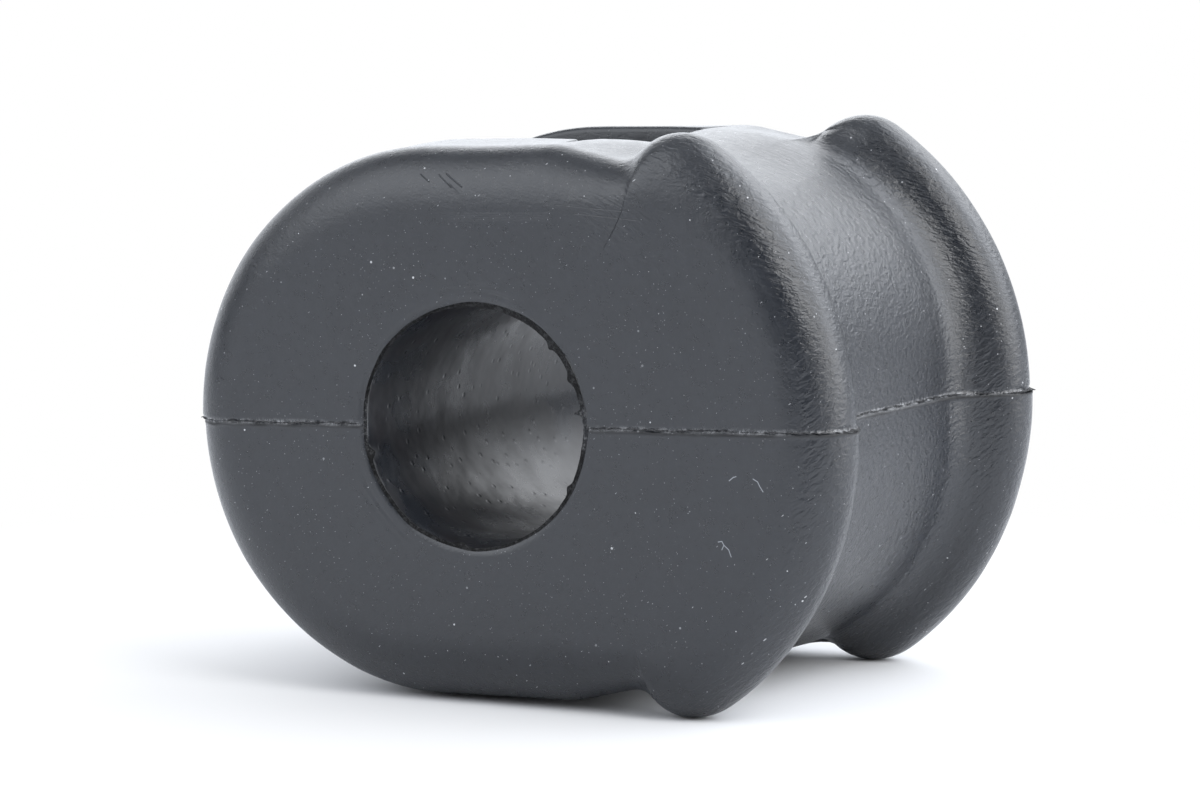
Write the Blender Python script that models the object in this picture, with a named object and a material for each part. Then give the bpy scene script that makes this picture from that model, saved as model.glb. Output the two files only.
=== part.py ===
"""Sway bar bushing: one moulded block of black rubber with a round bore.

The bore runs along Y through the origin, which is at mid length. X points from the
round nose to the two eared flanges, and Z is up. The mould parts on the plane Z = 0.
One quarter of the block is modelled, and mirrors make the rest. All sizes are in metres.

The section is drawn with rays. Each ray starts on a short spine that joins the centre
of the nose to the centre of the rim arc, and leaves it square to the outline there. Along
a ray, a chain of points runs from mid length over the flange and the end face to the bore.
"""

from math import acos, asin, atan2, cos, exp, inf, log, pi, radians, sin, sqrt, tan

import bmesh
import bpy
from mathutils import Vector

# Length and bore
LENGTH = 0.0450
BORE_DIAMETER = 0.0220
BORE_CHAMFER = 0.0004

# Outline of the two end flanges, seen along the bore
FLAT_HALF_HEIGHT = 0.02445
NOSE_CENTRE_X = -0.0056
RIM_CENTRE_X = 0.0053
RIM_RADIUS = 0.0298
FALL_START_X = 0.0076
FALL_BEND_RADIUS = 0.0100
VALLEY_X = 0.0144
VALLEY_DROP = 0.00155
VALLEY_RADIUS = 0.0027
VALLEY_LEAN = 0.0026
VALLEY_LEAN_WIDTH = 0.0036
EAR_FLANK_ANGLE = radians(37.0)
EAR_TIP_RADIUS = 0.0055

# Rise of the flange's top from its crest to the groove's lip, which fades out at this X
LAND_RISE = 0.0003
LAND_RISE_END_X = 0.0110

# Rounding from the flange's rim to the end face, wider along the flats
ROUNDING_LENGTH = 0.0043
ROUNDING_WIDTH = 0.0052
FLAT_ROUNDING_WIDTH = 0.0060
CORNER_SOFTNESS = 0.0012

# Groove for the bracket, round the nose and along both flats
GROOVE_WIDTH = 0.0230
GROOVE_DEPTH = 0.0035
GROOVE_END_X = 0.0070
GROOVE_END_RUN = 0.0014
GROOVE_WALL_ANGLE = radians(84.0)
GROOVE_FOOT_RADIUS = 0.0008
GROOVE_LIP_RADIUS = 0.0006

# Smooth saddle between the eared flanges: how far it lies under the flats and under the rim's tip
SADDLE_FLAT_DROP = 0.00003
SADDLE_CORNER_RADIUS = 0.0220
SADDLE_DEPTH = 0.0051
SADDLE_WALL_ANGLE = radians(60.0)
SADDLE_FOOT_RADIUS = 0.0040
SADDLE_LIP_RADIUS = 0.0028
SADDLE_CREST_LAND = 0.0003

# Shallow dip across the saddle's top, and the ramp down from the saddle to the valley
SADDLE_DIP = 0.00075
SADDLE_DIP_RUN = 0.0110
VALLEY_RAMP_START = 0.0100
VALLEY_RAMP_RANGE = 0.0014

# Raised flash where the mould halves meet
FLASH_HEIGHT = 0.0003
FLASH_HALF_WIDTH = 0.0004

# How finely the curves are divided
NOSE_STEPS = 15
FLAT_STEPS = 6
FALL_STEPS = 4
VALLEY_STEPS = 4
TIP_STEPS = 6
RIM_STEPS = 13
ARC_STEPS = 3
LAND_STEPS = 4
ROUNDING_STEPS = 6
GROOVE_END_STEPS = 3

CREST_Y = LENGTH / 2 - ROUNDING_LENGTH
SADDLE_SIDE_X = RIM_CENTRE_X + RIM_RADIUS - SADDLE_DEPTH

NODE_NAME = "bushing"
RUBBER_COLOUR = (0.030, 0.032, 0.036, 1.0)
RUBBER_ROUGHNESS = 0.45
SHARP_ANGLE = radians(40.0)
MIRROR_MERGE = 0.00001


def clear_scene():
    for obj in list(bpy.data.objects):
        bpy.data.objects.remove(obj, do_unlink=True)


def point_on(centre, radius, angle):
    return Vector((centre[0] + radius * cos(angle), centre[1] + radius * sin(angle)))


def arc(centre, radius, start, end, steps):
    """Points of an arc from one angle to another, both ends included."""
    return [point_on(centre, radius, start + (end - start) * i / steps) for i in range(steps + 1)]


def fall_angle():
    return atan2(VALLEY_DROP, VALLEY_X - FALL_START_X)


def top_point(x):
    """Point on the flat, on its gentle bend, or on the fall towards the valley."""
    fall = fall_angle()
    bend_x = FALL_START_X - FALL_BEND_RADIUS * tan(fall / 2)
    drop = 0.0
    if x > bend_x + FALL_BEND_RADIUS * sin(fall):
        drop = (x - FALL_START_X) * tan(fall)
    elif x > bend_x:
        drop = FALL_BEND_RADIUS - sqrt(FALL_BEND_RADIUS**2 - (x - bend_x) ** 2)
    return Vector((x, FLAT_HALF_HEIGHT - drop))


def steps_between(first, last, steps):
    """Even steps after the first value, up to the last."""
    return [first + (last - first) * i / steps for i in range(1, steps + 1)]


def valley_fillet():
    """Concave arc where the fall meets the ear's flank."""
    corner = Vector((VALLEY_X, FLAT_HALF_HEIGHT - VALLEY_DROP))
    fall = fall_angle()
    turn = fall + EAR_FLANK_ANGLE
    bisector = pi / 2 + (EAR_FLANK_ANGLE - fall) / 2
    centre = corner + Vector((cos(bisector), sin(bisector))) * VALLEY_RADIUS / cos(turn / 2)
    return arc(centre, VALLEY_RADIUS, -pi / 2 - fall, -pi / 2 + EAR_FLANK_ANGLE, VALLEY_STEPS)


def ear_tip():
    """Convex arc from the ear's flank to the rim, and the rim's angle where it ends."""
    corner = Vector((VALLEY_X, FLAT_HALF_HEIGHT - VALLEY_DROP))
    rim_centre = Vector((RIM_CENTRE_X, 0.0))
    along = Vector((cos(EAR_FLANK_ANGLE), sin(EAR_FLANK_ANGLE)))
    normal = Vector((-along.y, along.x))
    # The tip's centre lies a tip radius under the flank and a tip radius inside the rim.
    start = corner - normal * EAR_TIP_RADIUS - rim_centre
    inner = RIM_RADIUS - EAR_TIP_RADIUS
    half = start.dot(along)
    reach = -half + sqrt(half * half - start.length_squared + inner * inner)
    centre = rim_centre + start + along * reach
    end = atan2(centre.y, centre.x - RIM_CENTRE_X)
    return arc(centre, EAR_TIP_RADIUS, pi / 2 + EAR_FLANK_ANGLE, end, TIP_STEPS), end


def flange_outline():
    """Upper half of the flange's outline, from the nose's tip to the rim's tip."""
    nose = (NOSE_CENTRE_X, 0.0)
    rim = (RIM_CENTRE_X, 0.0)
    nose_foot = pi - asin(FLASH_HALF_WIDTH / FLAT_HALF_HEIGHT)
    rim_foot = asin(FLASH_HALF_WIDTH / RIM_RADIUS)
    points = [point_on(nose, FLAT_HALF_HEIGHT, pi)]
    points += arc(nose, FLAT_HALF_HEIGHT, nose_foot, pi / 2, NOSE_STEPS)
    valley = valley_fillet()
    groove_start = GROOVE_END_X - GROOVE_END_RUN
    stations = steps_between(NOSE_CENTRE_X, groove_start, FLAT_STEPS)
    stations += steps_between(groove_start, GROOVE_END_X, GROOVE_END_STEPS)
    stations += steps_between(GROOVE_END_X, valley[0].x, FALL_STEPS)
    points += [top_point(x) for x in stations[:-1]]
    points += valley
    tip, tip_end = ear_tip()
    points += tip
    points += arc(rim, RIM_RADIUS, tip_end, rim_foot, RIM_STEPS)[1:]
    points.append(point_on(rim, RIM_RADIUS, 0.0))
    return points


def ray_through(point):
    """Start on the spine, direction and length of the ray that ends at this outline point."""
    start = Vector((min(max(point.x, NOSE_CENTRE_X), RIM_CENTRE_X), 0.0))
    along = point - start
    return start, along.normalized(), along.length


def reach_to_circle(start, along, centre_x, radius):
    offset = start - Vector((centre_x, 0.0))
    half = offset.dot(along)
    return -half + sqrt(half * half - offset.length_squared + radius * radius)


def reach_to_saddle(start, along, half_height, side_x):
    """Length of a ray up to a flat that bends down through an arc to an upright side."""
    centre = Vector((side_x - SADDLE_CORNER_RADIUS, half_height - SADDLE_CORNER_RADIUS))
    if along.y > 0.0:
        flat = half_height / along.y
        if start.x + along.x * flat <= centre.x:
            return flat
    if along.x > 0.0:
        side = (side_x - start.x) / along.x
        if along.y * side <= centre.y:
            return side
    offset = start - centre
    half = offset.dot(along)
    return -half + sqrt(half * half - offset.length_squared + SADDLE_CORNER_RADIUS**2)


def soft_min(a, b, softness):
    return -softness * log(exp(-a / softness) + exp(-b / softness))


def smooth(t):
    t = min(max(t, 0.0), 1.0)
    return t * t * (3.0 - 2.0 * t)


def face_reach(start, along):
    """Length of a ray up to the edge of the flat end face."""
    width = ROUNDING_WIDTH + (FLAT_ROUNDING_WIDTH - ROUNDING_WIDTH) * smooth((along.y - 0.55) / 0.40)
    if along.x <= 0.0:
        return FLAT_HALF_HEIGHT - width
    flat = FLAT_HALF_HEIGHT / along.y if along.y > 0.0 else inf
    return soft_min(flat, RIM_RADIUS, CORNER_SOFTNESS) - width


def flank(low, high, wall_angle, foot_radius, lip_radius):
    """Points (y, reach) from y = 0 up or down to the flange: a fillet, a wall and a rounded lip."""
    way = -1.0 if high < low else 1.0
    rise = abs(high - low)
    total = foot_radius + lip_radius
    curved = total * (1.0 - cos(wall_angle))
    angle = wall_angle if curved <= rise else acos(1.0 - rise / total)
    wall = max(0.0, rise - curved) / sin(wall_angle)
    points = []
    for i in range(ARC_STEPS + 1):
        turn = angle * i / ARC_STEPS
        points.append(Vector((foot_radius * sin(turn), low + way * foot_radius * (1.0 - cos(turn)))))
    end_y = points[-1].x + wall * cos(angle) + lip_radius * sin(angle)
    for i in range(ARC_STEPS + 1):
        turn = angle * (1.0 - i / ARC_STEPS)
        points.append(Vector((end_y - lip_radius * sin(turn), high - way * lip_radius * (1.0 - cos(turn)))))
    return points


def moved(points, shift):
    return [Vector((point.x + shift, point.y)) for point in points]


def groove_flank(start, along, high, x):
    if along.x > 0.0:
        low = (FLAT_HALF_HEIGHT - GROOVE_DEPTH) / along.y
    else:
        low = FLAT_HALF_HEIGHT - GROOVE_DEPTH
    draft = (GROOVE_DEPTH - GROOVE_FOOT_RADIUS) / tan(GROOVE_WALL_ANGLE) + GROOVE_FOOT_RADIUS
    side = flank(low, high, GROOVE_WALL_ANGLE, GROOVE_FOOT_RADIUS, GROOVE_LIP_RADIUS)
    side = moved(side, GROOVE_WIDTH / 2 - draft)
    for point in side[ARC_STEPS + 1:]:
        point.y += land_rise(along, x, point.x)
    return side


def land_rise(along, x, y):
    """Rise of the flange's top at this place, from its crest towards mid length."""
    from_crest = smooth((CREST_Y - y) / (CREST_Y - GROOVE_WIDTH / 2))
    on_flat = smooth((along.y - 0.6) / 0.4)
    return LAND_RISE * from_crest * on_flat * smooth((LAND_RISE_END_X - x) / LAND_RISE_END_X)


def saddle_dip(along, y):
    on_top = smooth((along.y - 0.72) / 0.2)
    return SADDLE_DIP * on_top * (1.0 - smooth(y / SADDLE_DIP_RUN))


def saddle_flank(start, along, high, x):
    low = reach_to_saddle(start, along, FLAT_HALF_HEIGHT - SADDLE_FLAT_DROP, SADDLE_SIDE_X)
    side = flank(low, high, SADDLE_WALL_ANGLE, SADDLE_FOOT_RADIUS, SADDLE_LIP_RADIUS)
    side = moved(side, CREST_Y - SADDLE_CREST_LAND - side[-1].x)
    on_ramp = smooth(1.0 + (low - high) / VALLEY_RAMP_RANGE)
    points = []
    for i, point in enumerate(side):
        step = i / (len(side) - 1)
        ramp_y = VALLEY_RAMP_START + (CREST_Y - SADDLE_CREST_LAND - VALLEY_RAMP_START) * step
        ramp = Vector((ramp_y, low + (high - low) * smooth(step)))
        point = point * (1.0 - on_ramp) + ramp * on_ramp
        point.y += land_rise(along, x, point.x) - saddle_dip(along, point.x)
        points.append(point)
    return points


def groove_share(x):
    """1 in the groove, 0 on the saddle, with a short smooth change at the groove's end."""
    return smooth((GROOVE_END_X - x) / GROOVE_END_RUN)


def chain(point):
    """Points (y, reach) along one ray, from mid length over the flange to the bore."""
    start, along, high = ray_through(point)
    share = groove_share(point.x)
    if share == 1.0:
        side = groove_flank(start, along, high, point.x)
    elif share == 0.0:
        side = saddle_flank(start, along, high, point.x)
    else:
        pairs = zip(groove_flank(start, along, high, point.x), saddle_flank(start, along, high, point.x))
        side = [deep * share + shallow * (1.0 - share) for deep, shallow in pairs]
    inner = face_reach(start, along)
    rounding = []
    for i in range(ROUNDING_STEPS + 1):
        turn = pi / 2 * i / ROUNDING_STEPS
        rounding.append(Vector((CREST_Y + ROUNDING_LENGTH * sin(turn), inner + (high - inner) * cos(turn))))
    bore_radius = BORE_DIAMETER / 2
    bore = reach_to_circle(start, along, 0.0, bore_radius)
    edge = reach_to_circle(start, along, 0.0, bore_radius + BORE_CHAMFER)
    land = []
    for i in range(LAND_STEPS):
        y = side[0].x * i / LAND_STEPS
        dip = saddle_dip(along, y) - saddle_dip(along, side[0].x)
        land.append(Vector((y, side[0].y - (1.0 - share) * dip)))
    outside = land + side + rounding + [Vector((LENGTH / 2, edge))]
    inside = [Vector((LENGTH / 2 - BORE_CHAMFER, bore)), Vector((0.0, bore))]
    return outside, inside


def with_flash(outside):
    """The chain on the parting plane, raised square to the surface by the flash's height."""
    raised = []
    for i, point in enumerate(outside):
        before = outside[max(i - 1, 0)]
        after = outside[min(i + 1, len(outside) - 1)]
        run = (after - before).normalized()
        raised.append(point + Vector((-run.y, run.x)) * FLASH_HEIGHT)
    raised[0].x = 0.0
    return raised


def valley_lean(point, y):
    """Shift along X that keeps the valley upright across the rounding."""
    part = min(max((y - CREST_Y) / ROUNDING_LENGTH, 0.0), 1.0)
    near = exp(-(((point.x - VALLEY_X) / VALLEY_LEAN_WIDTH) ** 2))
    return VALLEY_LEAN * near * sqrt(1.0 - sqrt(1.0 - part * part))


def quarter_mesh():
    """The quarter with Y and Z positive, as a grid of rays and chain points."""
    outline = flange_outline()
    bm = bmesh.new()
    rows = []
    for index, point in enumerate(outline):
        start, along, _ = ray_through(point)
        outside, inside = chain(point)
        if index in (0, len(outline) - 1):
            outside = with_flash(outside)
        row = []
        for i, (y, reach) in enumerate(outside + inside):
            place = start + along * reach
            shift = valley_lean(point, y) if i < len(outside) - 1 else 0.0
            row.append(bm.verts.new((place.x + shift, y, place.y)))
        rows.append(row)
    for left, right in zip(rows, rows[1:]):
        for i in range(len(left) - 1):
            bm.faces.new((left[i], left[i + 1], right[i + 1], right[i]))
    for row in (rows[0], rows[-1]):
        for vert in row:
            vert.co.z = 0.0
    bmesh.ops.recalc_face_normals(bm, faces=bm.faces)
    mesh = bpy.data.meshes.new(NODE_NAME)
    bm.to_mesh(mesh)
    bm.free()
    return mesh


def rubber():
    material = bpy.data.materials.new("black_rubber")
    material.use_nodes = True
    shader = material.node_tree.nodes["Principled BSDF"]
    shader.inputs["Base Color"].default_value = RUBBER_COLOUR
    shader.inputs["Roughness"].default_value = RUBBER_ROUGHNESS
    shader.inputs["Metallic"].default_value = 0.0
    return material


def bushing():
    mesh = quarter_mesh()
    mesh.materials.append(rubber())
    body = bpy.data.objects.new(NODE_NAME, mesh)
    bpy.context.scene.collection.objects.link(body)
    mirror = body.modifiers.new("both_halves_and_ends", "MIRROR")
    mirror.use_axis = (False, True, True)
    mirror.merge_threshold = MIRROR_MERGE
    mesh.shade_smooth()
    mesh.set_sharp_from_angle(angle=SHARP_ANGLE)
    return body


clear_scene()
bushing()
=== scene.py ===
"""Looks of the sway bar bushing: one moulded block of black rubber on a white floor.

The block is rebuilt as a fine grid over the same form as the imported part. Rays leave a
short spine inside the block and end on the flange's outline. Along each ray, a chain of
points runs from mid length over the flange and the end face into the bore. X points from
the round nose to the eared flanges, Y runs along the bore and Z is up. Form sizes are in
millimetres and become metres when the mesh is made.
"""

from math import atan2, cos, pi, radians, sin, sqrt, tan

import bmesh
import bpy
import numpy as np
from mathutils import Matrix, Vector


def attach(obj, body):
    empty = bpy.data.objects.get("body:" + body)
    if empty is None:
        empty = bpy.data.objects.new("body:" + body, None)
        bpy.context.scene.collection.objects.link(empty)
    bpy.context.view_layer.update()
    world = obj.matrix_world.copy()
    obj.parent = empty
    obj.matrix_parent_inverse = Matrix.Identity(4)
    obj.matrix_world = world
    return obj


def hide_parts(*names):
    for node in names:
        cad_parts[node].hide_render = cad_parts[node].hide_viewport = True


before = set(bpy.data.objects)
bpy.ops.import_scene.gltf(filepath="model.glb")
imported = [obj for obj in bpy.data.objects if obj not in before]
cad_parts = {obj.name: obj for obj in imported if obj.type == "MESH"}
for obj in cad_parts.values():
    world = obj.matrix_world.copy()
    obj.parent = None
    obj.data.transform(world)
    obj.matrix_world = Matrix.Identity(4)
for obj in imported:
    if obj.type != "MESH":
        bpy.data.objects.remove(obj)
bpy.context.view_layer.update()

MM = 0.001

# Sizes of the form are in millimetres: first its length, bore, flats, nose and rim
LENGTH = 45.0
BORE_RADIUS = 11.0
FLAT_HALF_HEIGHT = 24.45
NOSE_CENTRE_X = -5.6
RIM_CENTRE_X = 5.3
RIM_RADIUS = 29.8

# Outline from the flat to the rim: a bend, a fall, the valley and the ear
FALL_START_X = 7.6
FALL_BEND_RADIUS = 10.0
VALLEY_X = 14.4
VALLEY_DROP = 1.55
VALLEY_RADIUS = 2.7
EAR_FLANK_ANGLE = radians(37.0)
EAR_TIP_RADIUS = 5.5

# Lean of the valley towards the rim, on the rounding and the end face
VALLEY_LEAN = 2.6
VALLEY_LEAN_WIDTH = 3.6

# Rise of the flange's top from its crest to the groove's lip
LAND_RISE = 0.30
LAND_RISE_END_X = 11.0

# Rounding from the flange's crest to the end face, and the torn strip at the bore's edge
ROUNDING_LENGTH = 4.3
ROUNDING_WIDTH = 5.2
FLAT_ROUNDING_WIDTH = 6.0
CORNER_SOFTNESS = 1.2
EDGE_WIDTH = 0.65

# Groove for the bracket
GROOVE_WIDTH = 23.0
GROOVE_DEPTH = 3.5
GROOVE_END_X = 7.0
GROOVE_END_RUN = 1.4
GROOVE_WALL_ANGLE = radians(84.0)
GROOVE_FOOT_RADIUS = 0.8
GROOVE_LIP_RADIUS = 0.6

# Saddle between the flanges, with a dip at mid length
SADDLE_FLAT_DROP = 0.03
SADDLE_CORNER_RADIUS = 22.0
SADDLE_DEPTH = 5.1
SADDLE_WALL_ANGLE = radians(60.0)
SADDLE_FOOT_RADIUS = 4.0
SADDLE_LIP_RADIUS = 2.8
SADDLE_CREST_LAND = 0.3
SADDLE_DIP = 0.75
SADDLE_DIP_RUN = 11.0

# Ramp from the saddle to the valley, where the saddle is the higher one or nearly so
VALLEY_RAMP_START = 10.0
VALLEY_RAMP_RANGE = 1.4

# Height of a ray's direction where each of these begins, and the range until it is whole
RISE_UPRIGHT = (0.60, 0.40)
DIP_UPRIGHT = (0.72, 0.20)
ROUNDING_UPRIGHT = (0.55, 0.40)

# What differs between the halves of the mould
MOULD_SHIFT = 0.12
MOULD_SHIFT_RUN = 0.25
LOWER_EAR_SHIFT = (-0.6, -0.2)
LOWER_EAR_X = 18.5
LOWER_EAR_WIDTH = 4.5
LOWER_EAR_START = 17.0
LOWER_EAR_RUN = 5.0

# Spacing of the rays along the outline, at most, at the parting line and at the groove's end
RAY_SPACING = 0.50
SEAM_SPACING = 0.09
GROOVE_END_SPACING = 0.22

# Points of a chain in each stretch, from mid length to the bore
LAND_POINTS = 11
FOOT_POINTS = 6
WALL_POINTS = 4
LIP_POINTS = 5
CREST_POINTS = 5
ROUNDING_POINTS = 17
FACE_POINTS = 40
BORE_POINTS = 14

# How much the points of the end face crowd towards the bore
FACE_CROWDING = 1.35

# Number of a chain's stretch: the rounding, the end face and the mouth of the bore
KIND_ROUNDING = 3
KIND_FACE = 4
KIND_MOUTH = 5

# Rows of the next profile that are torn, counted from the end face
TORN_ROWS = 6

# Profile of the torn flash round each end of the bore: share of the way from the lip's tip
# out to the end face, share of the way from the tip back to the bore, depth below the face
MOUTH_PROFILE = (
    (1.00, 0.00, 0.00),
    (0.80, 0.00, 0.10),
    (0.50, 0.00, 0.16),
    (0.20, 0.00, 0.20),
    (0.00, 0.00, 0.26),
    (0.00, 0.00, 0.33),
    (0.00, 0.45, 0.42),
    (0.00, 0.85, 0.55),
    (0.00, 1.00, 0.75),
)

SEED = 7


def smooth(t):
    """0 up to 0, 1 from 1 on, and smooth between them."""
    t = np.clip(t, 0.0, 1.0)
    return t * t * (3.0 - 2.0 * t)


def grown(value, start, run):
    """0 up to the start, 1 after the run, and smooth between them."""
    return smooth((value - start) / run)


def point_noise(points, size, seed):
    """Smooth noise from -1 to 1 at each point, with bumps about as wide as this size."""
    cells = 64
    lattice = np.random.default_rng(seed).uniform(-1.0, 1.0, (cells, cells, cells))
    place = points / size
    low = np.floor(place).astype(int)
    part = smooth(place - low)
    value = 0.0
    for dx in (0, 1):
        for dy in (0, 1):
            for dz in (0, 1):
                weight = np.abs(1 - dx - part[..., 0])
                weight = weight * np.abs(1 - dy - part[..., 1])
                weight = weight * np.abs(1 - dz - part[..., 2])
                corner = lattice[
                    (low[..., 0] + dx) % cells, (low[..., 1] + dy) % cells, (low[..., 2] + dz) % cells
                ]
                value = value + weight * corner
    return value


def layered_noise(points, layers):
    """Sum of noises, each given by its height, the size of its bumps and its seed."""
    total = 0.0
    for height, size, seed in layers:
        total = total + height * point_noise(points, size, SEED + seed)
    return total


def rows_of(*columns):
    return np.stack(np.broadcast_arrays(*columns), -1)


def arc_points(centre, radius, start, end, count):
    angle = np.linspace(start, end, count)
    return rows_of(centre[0] + radius * np.cos(angle), centre[1] + radius * np.sin(angle))


def dense_outline():
    """Upper half of the flange's outline as a fine polyline, from the nose to the rim."""
    fall = atan2(VALLEY_DROP, VALLEY_X - FALL_START_X)
    bend_x = FALL_START_X - FALL_BEND_RADIUS * tan(fall / 2)
    corner = np.array([VALLEY_X, FLAT_HALF_HEIGHT - VALLEY_DROP])
    bisector = pi / 2 + (EAR_FLANK_ANGLE - fall) / 2
    toward = np.array([cos(bisector), sin(bisector)])
    valley_centre = corner + toward * VALLEY_RADIUS / cos((fall + EAR_FLANK_ANGLE) / 2)
    along = np.array([cos(EAR_FLANK_ANGLE), sin(EAR_FLANK_ANGLE)])
    normal = np.array([-along[1], along[0]])
    start = corner - normal * EAR_TIP_RADIUS - np.array([RIM_CENTRE_X, 0.0])
    inner = RIM_RADIUS - EAR_TIP_RADIUS
    half = start @ along
    tip_centre = start + along * (-half + sqrt(half * half - start @ start + inner * inner))
    tip_end = atan2(tip_centre[1], tip_centre[0])
    tip_centre = tip_centre + np.array([RIM_CENTRE_X, 0.0])
    bend_centre = (bend_x, FLAT_HALF_HEIGHT - FALL_BEND_RADIUS)
    pieces = [
        arc_points((NOSE_CENTRE_X, 0.0), FLAT_HALF_HEIGHT, pi, pi / 2, 900),
        arc_points(bend_centre, FALL_BEND_RADIUS, pi / 2, pi / 2 - fall, 60),
        arc_points(valley_centre, VALLEY_RADIUS, -pi / 2 - fall, -pi / 2 + EAR_FLANK_ANGLE, 120),
        arc_points(tip_centre, EAR_TIP_RADIUS, pi / 2 + EAR_FLANK_ANGLE, tip_end, 200),
        arc_points((RIM_CENTRE_X, 0.0), RIM_RADIUS, tip_end, 0.0, 900)[1:],
    ]
    return np.concatenate(pieces)


def outline_stations():
    """Points on the upper half outline, closer at the parting line and the groove's end."""
    line = dense_outline()
    steps = np.hypot(*np.diff(line, axis=0).T)
    reach = np.concatenate([[0.0], np.cumsum(steps)])
    fine = np.linspace(0.0, reach[-1], 8000)
    x = np.interp(fine, reach, line[:, 0])
    to_seam = np.minimum(fine, reach[-1] - fine)
    spacing = SEAM_SPACING + (RAY_SPACING - SEAM_SPACING) * smooth((to_seam - 0.3) / 3.5)
    off_end = np.abs(x - GROOVE_END_X + GROOVE_END_RUN / 2)
    at_end = (fine < reach[-1] / 2 + 12.0) * (1.0 - smooth((off_end - 0.8) / 1.2))
    spacing = spacing + (GROOVE_END_SPACING - spacing) * at_end
    density = 0.5 * (1 / spacing[1:] + 1 / spacing[:-1])
    count = np.concatenate([[0.0], np.cumsum(density * np.diff(fine))])
    picks = np.linspace(0.0, count[-1], int(round(count[-1])) + 1)
    chosen = np.interp(picks, count, fine)
    points = rows_of(np.interp(chosen, reach, line[:, 0]), np.interp(chosen, reach, line[:, 1]))
    points[0, 1] = points[-1, 1] = 0.0
    return points, chosen


def reach_to_circle(start, along, radius):
    """Length of each ray up to a circle round the bore's axis."""
    half = start * along[:, 0]
    return -half + np.sqrt(half * half - start * start + radius * radius)


def reach_to_saddle(start, along, half_height, side_x, corner_radius):
    """Length of each ray up to a flat that bends down through an arc to an upright side."""
    centre = np.array([side_x - corner_radius, half_height - corner_radius])
    on_flat = half_height / np.maximum(along[:, 1], 0.001)
    on_side = (side_x - start) / np.maximum(along[:, 0], 0.001)
    offset = rows_of(start, 0.0 * start) - centre
    half = np.sum(offset * along, axis=1)
    on_arc = -half + np.sqrt(half * half - np.sum(offset * offset, axis=1) + corner_radius**2)
    under_flat = start + along[:, 0] * on_flat <= centre[0]
    beside = along[:, 1] * on_side <= centre[1]
    return np.where(under_flat, on_flat, np.where(beside, on_side, on_arc))


def flank(low, high, wall_angle, foot_radius, lip_radius):
    """Points (y, reach) from y = 0 up or down to the flange: fillet, wall and rounded lip."""
    way = np.where(high < low, -1.0, 1.0)
    rise = np.abs(high - low)
    total = foot_radius + lip_radius
    curved = total * (1.0 - cos(wall_angle))
    angle = np.where(curved <= rise, wall_angle, np.arccos(np.clip(1.0 - rise / total, -1.0, 1.0)))
    wall = np.maximum(0.0, rise - curved) / sin(wall_angle)
    low = low[:, None]
    high = high[:, None]
    way = way[:, None]
    turn = angle[:, None] * np.linspace(0.0, 1.0, FOOT_POINTS)
    foot = rows_of(foot_radius * np.sin(turn), low + way * foot_radius * (1.0 - np.cos(turn)))
    end_y = foot[:, -1, 0] + wall * np.cos(angle) + lip_radius * np.sin(angle)
    turn = angle[:, None] * np.linspace(1.0, 0.0, LIP_POINTS)
    lip_y = end_y[:, None] - lip_radius * np.sin(turn)
    lip = rows_of(lip_y, high - way * lip_radius * (1.0 - np.cos(turn)))
    share = np.linspace(0.0, 1.0, WALL_POINTS + 2)[None, 1:-1, None]
    between = foot[:, -1:] * (1.0 - share) + lip[:, :1] * share
    return np.concatenate([foot, between, lip], 1)


def land_rise(y, crest_y):
    """Rise of the flange's top from its crest towards the groove's lip."""
    return LAND_RISE * smooth((crest_y - y) / (crest_y - GROOVE_WIDTH / 2))


def groove_side(along, high):
    """Chain points (y, reach) of the groove's wall on each ray."""
    low = np.full_like(high, FLAT_HALF_HEIGHT - GROOVE_DEPTH)
    right = along[:, 0] > 0.0
    low[right] = low[right] / np.maximum(along[right, 1], 0.5)
    side = flank(low, high, GROOVE_WALL_ANGLE, GROOVE_FOOT_RADIUS, GROOVE_LIP_RADIUS)
    draft = (GROOVE_DEPTH - GROOVE_FOOT_RADIUS) / tan(GROOVE_WALL_ANGLE) + GROOVE_FOOT_RADIUS
    side[..., 0] += GROOVE_WIDTH / 2 - draft
    return side


def saddle_side(spine_x, along, high, crest_y):
    """Chain points (y, reach) of the saddle's wall, or of the ramp to the valley, on each ray."""
    half_height = FLAT_HALF_HEIGHT - SADDLE_FLAT_DROP
    side_x = RIM_CENTRE_X + RIM_RADIUS - SADDLE_DEPTH
    low = reach_to_saddle(spine_x, along, half_height, side_x, SADDLE_CORNER_RADIUS)
    side = flank(low, high, SADDLE_WALL_ANGLE, SADDLE_FOOT_RADIUS, SADDLE_LIP_RADIUS)
    side[..., 0] += (crest_y - SADDLE_CREST_LAND - side[:, -1, 0])[:, None]
    steps = np.linspace(0.0, 1.0, side.shape[1])
    ramp_run = crest_y - SADDLE_CREST_LAND - VALLEY_RAMP_START
    ramp_reach = low[:, None] + (high - low)[:, None] * smooth(steps)
    ramp = rows_of(VALLEY_RAMP_START + ramp_run * steps, ramp_reach)
    on_ramp = smooth(1.0 + (low - high) / VALLEY_RAMP_RANGE)[:, None, None]
    return side * (1.0 - on_ramp) + ramp * on_ramp


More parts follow.
